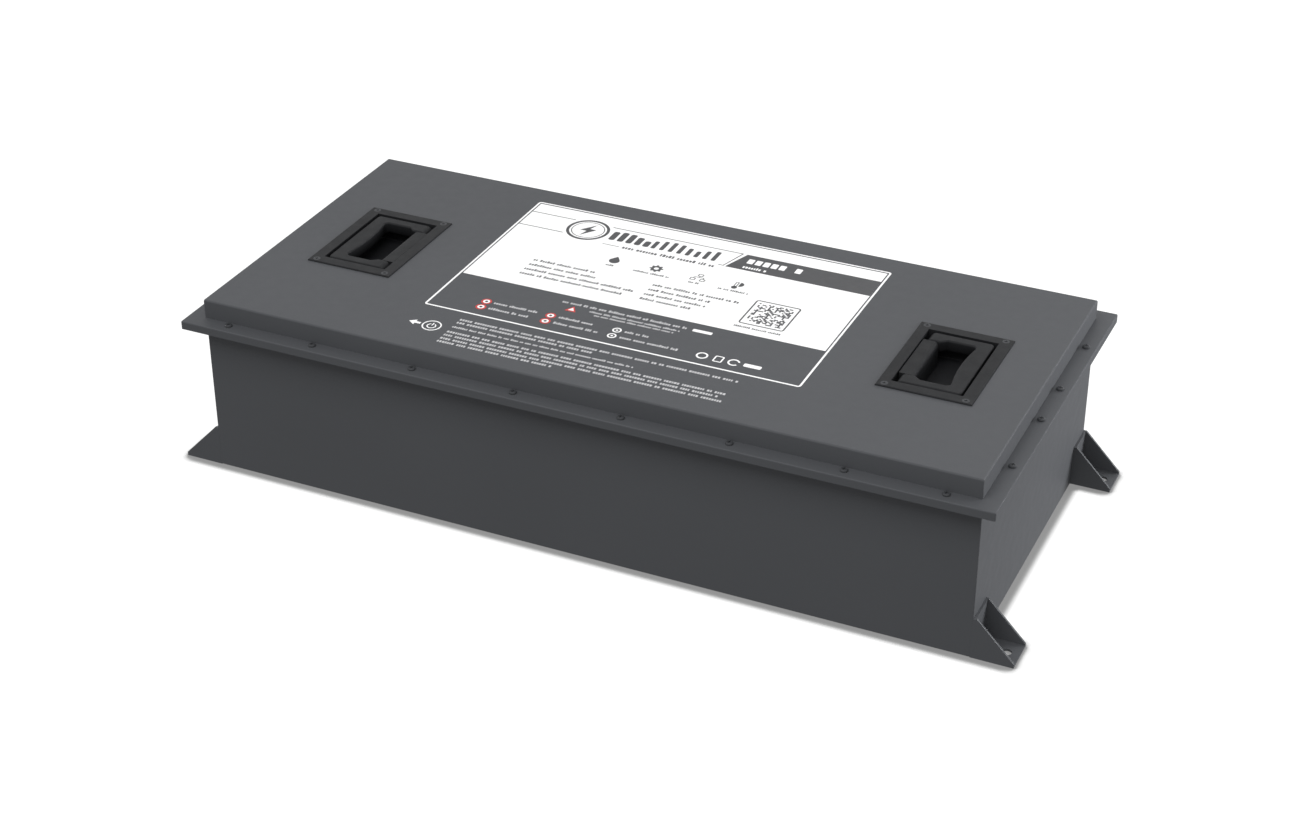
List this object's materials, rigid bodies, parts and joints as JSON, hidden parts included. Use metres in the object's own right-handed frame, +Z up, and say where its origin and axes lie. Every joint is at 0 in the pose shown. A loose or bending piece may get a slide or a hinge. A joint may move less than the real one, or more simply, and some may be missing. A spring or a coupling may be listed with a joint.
{
  "type": "battery pack",
  "caption": "Low steel-cased battery pack with a screwed raised lid, two folding handles set in the lid, and gusseted mounting feet at both ends.",
  "frame": {"origin": "middle of the footprint, on the plane that the case and feet stand on", "axes": "+X along the case, away from the terminal end; +Y to the back; +Z up"},
  "size_m": [0.826, 0.3726, 0.18],
  "materials": {
    "case_paint": "fine powder coat, satin",
    "black_screw": "blackened steel, satin",
    "zinc_steel": "zinc plated",
    "handle_plastic": "fine moulded grain",
    "foam": "closed-cell foam",
    "insulator": "matt",
    "aluminium": "mill finish",
    "copper": "bare copper",
    "terminal_brass": "turned",
    "circuit_board": "solder mask",
    "fuse_body": "matt",
    "cable_sheath": "silicone sheath",
    "button_metal": "turned stainless steel",
    "button_cap": "turned stainless steel",
    "cell_film": "shrink film"
  },
  "bodies": {
    "case": {"base_mat": "foam", "bms_board": "circuit_board", "bms_case": "aluminium", "busbars": "copper", "case_tub": "case_paint", "cell_01": "cell_film", "cell_02": "cell_film", "cell_03": "cell_film", "cell_04": "cell_film", "cell_05": "cell_film", "cell_06": "cell_film", "cell_07": "cell_film", "cell_08": "cell_film", "cell_09": "cell_film", "cell_10": "cell_film", "cell_11": "cell_film", "cell_12": "cell_film", "cell_13": "cell_film", "cell_14": "cell_film", "cell_15": "cell_film", "cell_16": "cell_film", "cell_17": "cell_film", "cell_18": "cell_film", "cell_19": "cell_film", "cell_20": "cell_film", "cell_21": "cell_film", "cell_22": "cell_film", "cell_23": "cell_film", "cell_24": "cell_film", "cell_spacers": "insulator", "clinch_nuts": "zinc_steel", "cover": "case_paint", "cover_gasket": "foam", "cover_screws": "black_screw", "data_socket": "insulator", "end_plates": "aluminium", "foot_back_left": "case_paint", "foot_back_right": "case_paint", "foot_front_left": "case_paint", "foot_front_right": "case_paint", "fuse_nuts": "zinc_steel", "handle_dish_left": "handle_plastic", "handle_dish_right": "handle_plastic", "handle_nuts": "zinc_steel", "handle_pins": "zinc_steel", "handle_screws": "black_screw", "main_fuse": "fuse_body", "power_bolts": "zinc_steel", "power_button_housing": "button_metal", "power_button_nut": "zinc_steel", "power_cables": "cable_sheath", "terminal_insulators": "insulator", "terminal_negative": "terminal_brass", "terminal_nuts": "zinc_steel", "terminal_positive": "terminal_brass", "tie_straps": "zinc_steel"},
    "bail_right": {"handle_bail_right": "handle_plastic"},
    "bail_left": {"handle_bail_left": "handle_plastic"},
    "power_button": {"power_button_cap": "button_cap"}
  },
  "joints": [
    {"name": "handle_lift_right", "type": "hinge", "parent": "case", "child": "bail_right", "pos_m": [0.261, 0, 0.1741], "axis": [0, -1, 0], "range_deg": [0, 90]},
    {"name": "handle_lift_left", "type": "hinge", "parent": "case", "child": "bail_left", "pos_m": [-0.261, 0, 0.1741], "axis": [0, 1, 0], "range_deg": [0, 90]},
    {"name": "button_press", "type": "slide", "parent": "case", "child": "power_button", "axis": [1, 0, 0], "range_m": [0, 0.002], "stiffness_N_per_m": 600, "springref_m": -0.002}
  ]
}
